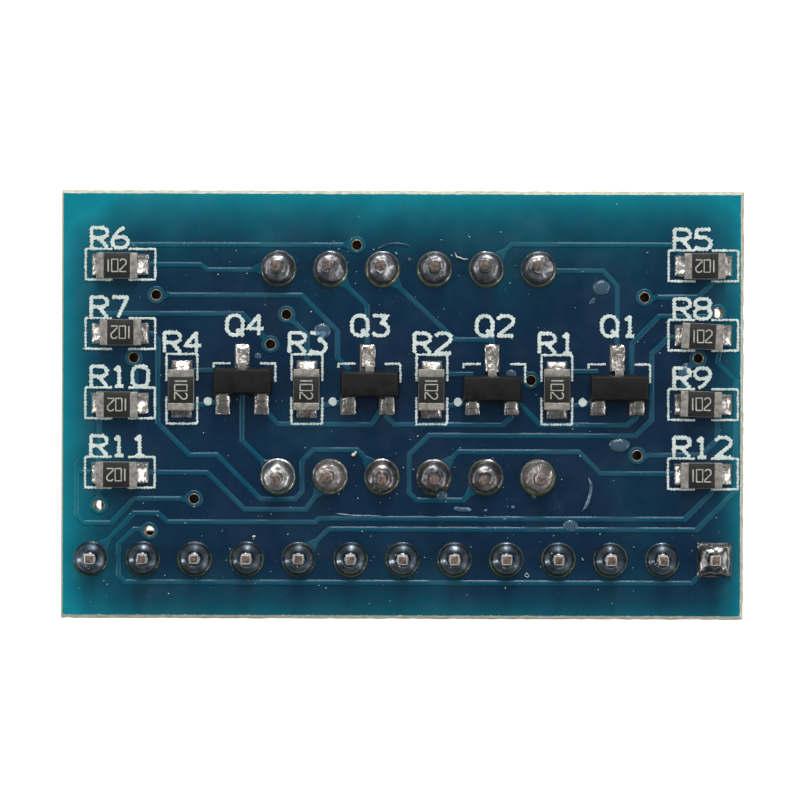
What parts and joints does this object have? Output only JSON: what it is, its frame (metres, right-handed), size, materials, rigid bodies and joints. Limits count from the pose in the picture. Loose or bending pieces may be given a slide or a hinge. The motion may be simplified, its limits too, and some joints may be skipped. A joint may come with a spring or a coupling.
{
  "type": "seven segment display module",
  "caption": "Blue display board seen from its soldered back: chip resistors, small transistors, raised tracks and two rows of solder joints over a four digit display and a pin header.",
  "frame": {"origin": "under the middle of the board's outline, level with the tips of the header pins", "axes": "+X along the header and the board's length, +Y across the board away from the header, +Z out of the soldered back; the digits face -Z"},
  "size_m": [0.0334, 0.021, 0.0116],
  "materials": {
    "laminate": "gloss",
    "lacquered_copper": "gloss",
    "tin": "satin",
    "solder": "gloss",
    "pin_plate": "gloss",
    "header_plastic": "matte",
    "case_plastic": "satin",
    "window_resin": "satin",
    "potting_resin": "gloss",
    "inner_laminate": "satin",
    "die": "satin",
    "chip_ceramic": "satin",
    "mould_epoxy": "matte"
  },
  "bodies": {
    "root": {"circuit_board": "laminate", "copper_tracks": "lacquered_copper", "via_plating": "lacquered_copper", "header_pads": "tin", "display_pads": "tin", "resistor_pads": "tin", "transistor_pads": "tin", "header_insulator": "header_plastic", "header_pins": "pin_plate", "display_case": "case_plastic", "display_windows": "window_resin", "display_dice": "die", "display_inner_board": "inner_laminate", "display_potting": "potting_resin", "display_pins": "tin", "header_solder": "solder", "display_solder": "solder", "resistor_solder": "solder", "transistor_solder": "solder", "resistor_1_body": "chip_ceramic", "resistor_2_body": "chip_ceramic", "resistor_3_body": "chip_ceramic", "resistor_4_body": "chip_ceramic", "resistor_5_body": "chip_ceramic", "resistor_6_body": "chip_ceramic", "resistor_7_body": "chip_ceramic", "resistor_8_body": "chip_ceramic", "resistor_9_body": "chip_ceramic", "resistor_10_body": "chip_ceramic", "resistor_11_body": "chip_ceramic", "resistor_12_body": "chip_ceramic", "resistor_1_caps": "tin", "resistor_2_caps": "tin", "resistor_3_caps": "tin", "resistor_4_caps": "tin", "resistor_5_caps": "tin", "resistor_6_caps": "tin", "resistor_7_caps": "tin", "resistor_8_caps": "tin", "resistor_9_caps": "tin", "resistor_10_caps": "tin", "resistor_11_caps": "tin", "resistor_12_caps": "tin", "transistor_1_body": "mould_epoxy", "transistor_2_body": "mould_epoxy", "transistor_3_body": "mould_epoxy", "transistor_4_body": "mould_epoxy", "transistor_1_leads": "tin", "transistor_2_leads": "tin", "transistor_3_leads": "tin", "transistor_4_leads": "tin"}
  },
  "joints": []
}
